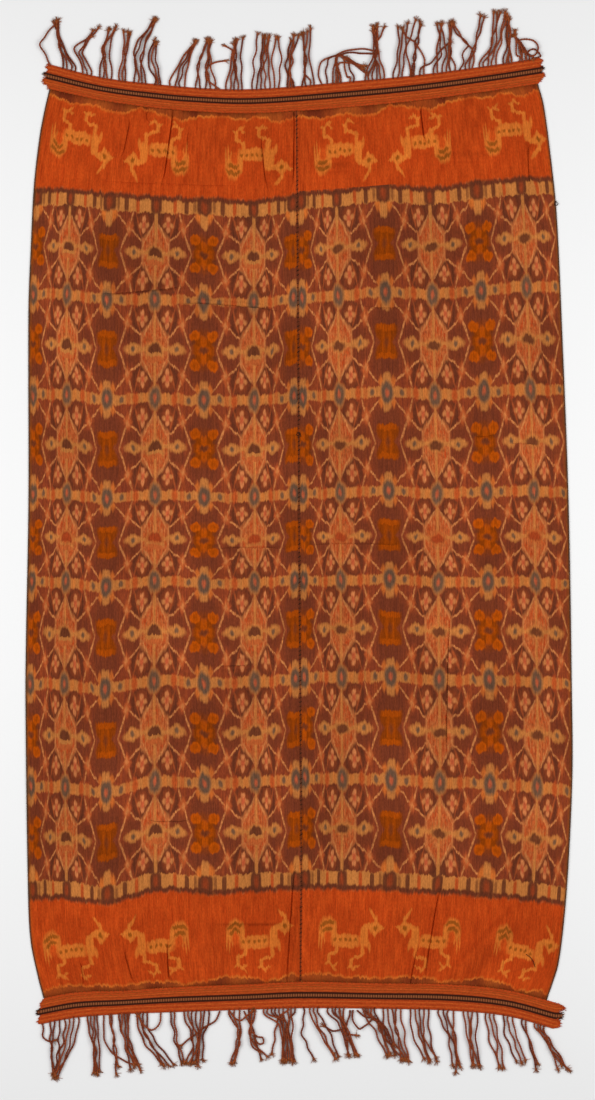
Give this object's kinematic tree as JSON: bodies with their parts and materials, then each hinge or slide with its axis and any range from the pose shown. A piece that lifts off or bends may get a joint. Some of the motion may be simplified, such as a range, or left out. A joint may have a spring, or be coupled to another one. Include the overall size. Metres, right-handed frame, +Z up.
{
  "type": "ikat woven cloth",
  "caption": "Flat rectangular ikat cloth of sewn woven panels, with a ribbed striped band and a twisted cord fringe at each end, to lay out, drape or wrap.",
  "frame": {"origin": "on the floor under the middle of the cloth's outline", "axes": "+Y along the warp towards the top end, +X across the two panels to the right, +Z up"},
  "size_m": [1.0981, 2.1299, 0.0095],
  "materials": {
    "ikat_cotton": "matte warp-faced handspun cotton, resist dyed in brown, rust, ochre and grey",
    "band_cotton": "matte ribbed rust-orange cotton with dark stripes",
    "fringe_yarn": "matte two-ply twisted red-brown cotton cord"
  },
  "bodies": {
    "root": {"cloth_panel_left": "ikat_cotton", "cloth_panel_right": "ikat_cotton", "end_band_top": "band_cotton", "end_band_bottom": "band_cotton", "fringe_top": "fringe_yarn", "fringe_bottom": "fringe_yarn"}
  },
  "joints": []
}
